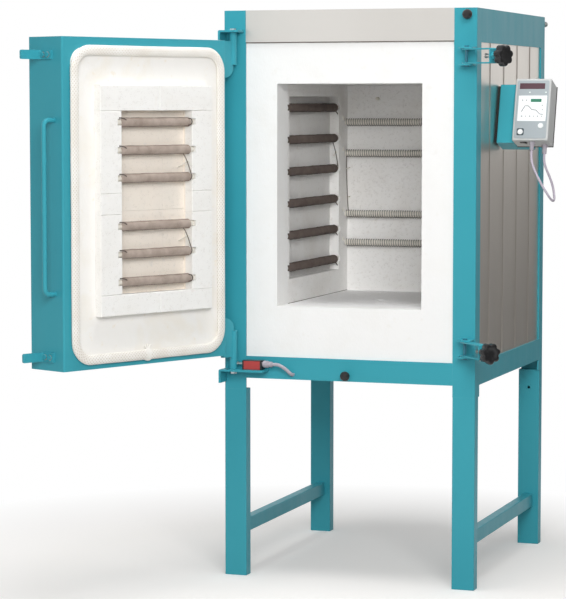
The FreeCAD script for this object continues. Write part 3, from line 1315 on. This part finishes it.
def controller():
    """Tilted control unit: holder and pad, housing, front plate, keys, rocker and glands."""
    width, height, depth = CONTROLLER_WIDTH, CONTROLLER_HEIGHT, CONTROLLER_DEPTH
    profile = [(0, 0), (depth, 0), (depth, height - CONTROLLER_TOP_SLOPE), (0, height)]
    body = rounded(sketch(profile, "yz", 0, width), CONTROLLER_EDGE, Z_AXIS)
    body = rounded(body, CONTROLLER_BACK_EDGE, X_AXIS, lambda m: m.y > depth - 1)
    hollows = []
    for x, z in KEYS.values():
        hollows.append(rod((x, -1, z), (x, KEY_HOLE_DEPTH, z), KEY_RADIUS + KEY_GAP))
    rocker_x, rocker_y = ROCKER_PLACE
    rocker_w, rocker_d = ROCKER_SIZE
    half_w = rocker_w / 2 + ROCKER_GAP[0]
    half_d = rocker_d / 2 + ROCKER_GAP[1]
    hollows.append(box(
        (rocker_x - half_w, rocker_x + half_w), (rocker_y - half_d, rocker_y + half_d),
        (-1, ROCKER_HOLE_DEPTH),
    ))
    keep("controller_housing", tilt(without(body, hollows)))

    inset = FRONT_PLATE_INSET
    plate = soft_box(
        (inset, width - inset), (-FRONT_PLATE, 0), (inset, height - inset), FRONT_PLATE_CORNER, Y_AXIS
    )
    holes = [
        rod((x, -FRONT_PLATE - 1, z), (x, 1, z), KEY_RADIUS + KEY_GAP) for x, z in KEYS.values()
    ]
    keep("controller_front_plate", tilt(without(plate, holes)))
    for name, (x, z) in KEYS.items():
        key = rod((x, -KEY_PROUD, z), (x, KEY_HOLE_DEPTH - KEY_TRAVEL - KEY_GAP, z), KEY_RADIUS)
        front = [edge for edge in key.Edges if abs(edge.CenterOfMass.y + KEY_PROUD) < 0.01]
        keep(name, tilt(key.makeChamfer(KEY_EDGE, front)))

    slope = (rocker_w / 2) * math.tan(math.radians(ROCKER_ANGLE))
    rocker = sketch(
        [
            (-rocker_w / 2, -1.5 - slope), (0, -1.5), (rocker_w / 2, -1.5 - slope),
            (rocker_w / 2 - 1, 3), (3, 9), (-3, 9), (-rocker_w / 2 + 1, 3),
        ],
        "xz", -rocker_d / 2, rocker_d / 2,
    )
    rocker.rotate(Vector(0, 0, 3), Y_AXIS, ROCKER_ANGLE)
    rocker.translate(Vector(rocker_x, rocker_y, 0))
    keep("rocker_switch", tilt(rocker))

    left = HOLDER_LEFT - CONTROLLER_X
    right = HOLDER_RIGHT - CONTROLLER_X
    block = box((left, right), (HOLDER_FRONT, HOLDER_BACK), (0, HOLDER_HEIGHT))
    clear = box((-HOLDER_GAP, width + 10), (-10, depth + SEAL_PLATE), (-10, height + 10))
    holder = block.cut(clear)
    holder = rounded(
        holder, HOLDER_EDGE, Z_AXIS, lambda m: m.x < left + 1 or m.y > HOLDER_BACK - 1
    )
    keep("controller_holder", tilt(holder))
    pad = box(
        (INNER_HALF - CONTROLLER_X, left),
        (HOLDER_FRONT + PAD_INSET, HOLDER_FRONT + PAD_INSET + PAD_WIDTH),
        (PAD_INSET, HOLDER_HEIGHT - PAD_INSET),
    )
    plate = box(
        (0, width + SEAL_PROUD), (depth, depth + SEAL_PLATE),
        (-SEAL_PROUD, height - CONTROLLER_TOP_SLOPE + SEAL_PROUD),
    )
    keep("holder_pad", tilt(pad), tilt(plate))

    glands = []
    for x, y in (CONTROLLER_GLAND, REAR_GLAND):
        glands.append(tilt(joined([
            rod((x, y, 0), (x, y, -GLAND_LENGTH), GLAND_SLEEVE_RADIUS),
            hexagon((x, y, -GLAND_NUT), GLAND_RADIUS, GLAND_NUT),
        ])))
    return glands


def cable():
    """Grey cable that hangs in a loop between the control unit and its holder."""
    def below(place, drop):
        end = Part.Vertex(Vector(place[0], place[1], -GLAND_LENGTH - drop))
        return tuple(tilt(end).Point)

    start = [below(CONTROLLER_GLAND, drop) for drop in (0, CABLE_STRAIGHT)]
    end = [below(REAR_GLAND, drop) for drop in (CABLE_STRAIGHT, 0)]
    points = start + list(CABLE_POINTS) + end
    keep("controller_cable", round_cord(points, CABLE_RADIUS, "controller cable"))


def write_parts():
    """Write each named piece to its own file, and print what it holds."""
    os.makedirs("parts", exist_ok=True)
    shift = Vector(-FLOOR_CENTRE_X, -FLOOR_CENTRE_Y, 0)
    reach = FreeCAD.BoundBox()
    for name, solids in PIECES.items():
        flat = [solid for shape in solids for solid in shape.Solids]
        shape = flat[0] if len(flat) == 1 else Part.makeCompound(flat)
        shape.translate(shift)
        reach.add(shape.BoundBox)
        shape.exportStep("parts/" + name + ".step")
        if not shape.isValid():
            print("not valid:", name)
    print(len(PIECES), "pieces")
    print("x", round(reach.XMin, 1), round(reach.XMax, 1), "y", round(reach.YMin, 1),
          round(reach.YMax, 1), "z", round(reach.ZMin, 1), round(reach.ZMax, 1))


stand()
frame()
cladding()
roof_and_floor_sheets()
lining()
elements()
door_shell()
door_plug()
hinges()
handle_and_lugs()
latches()
air_slides()
switch_gland = door_switch()
keep("cable_glands", *(controller() + [switch_gland]))
cable()
write_parts()
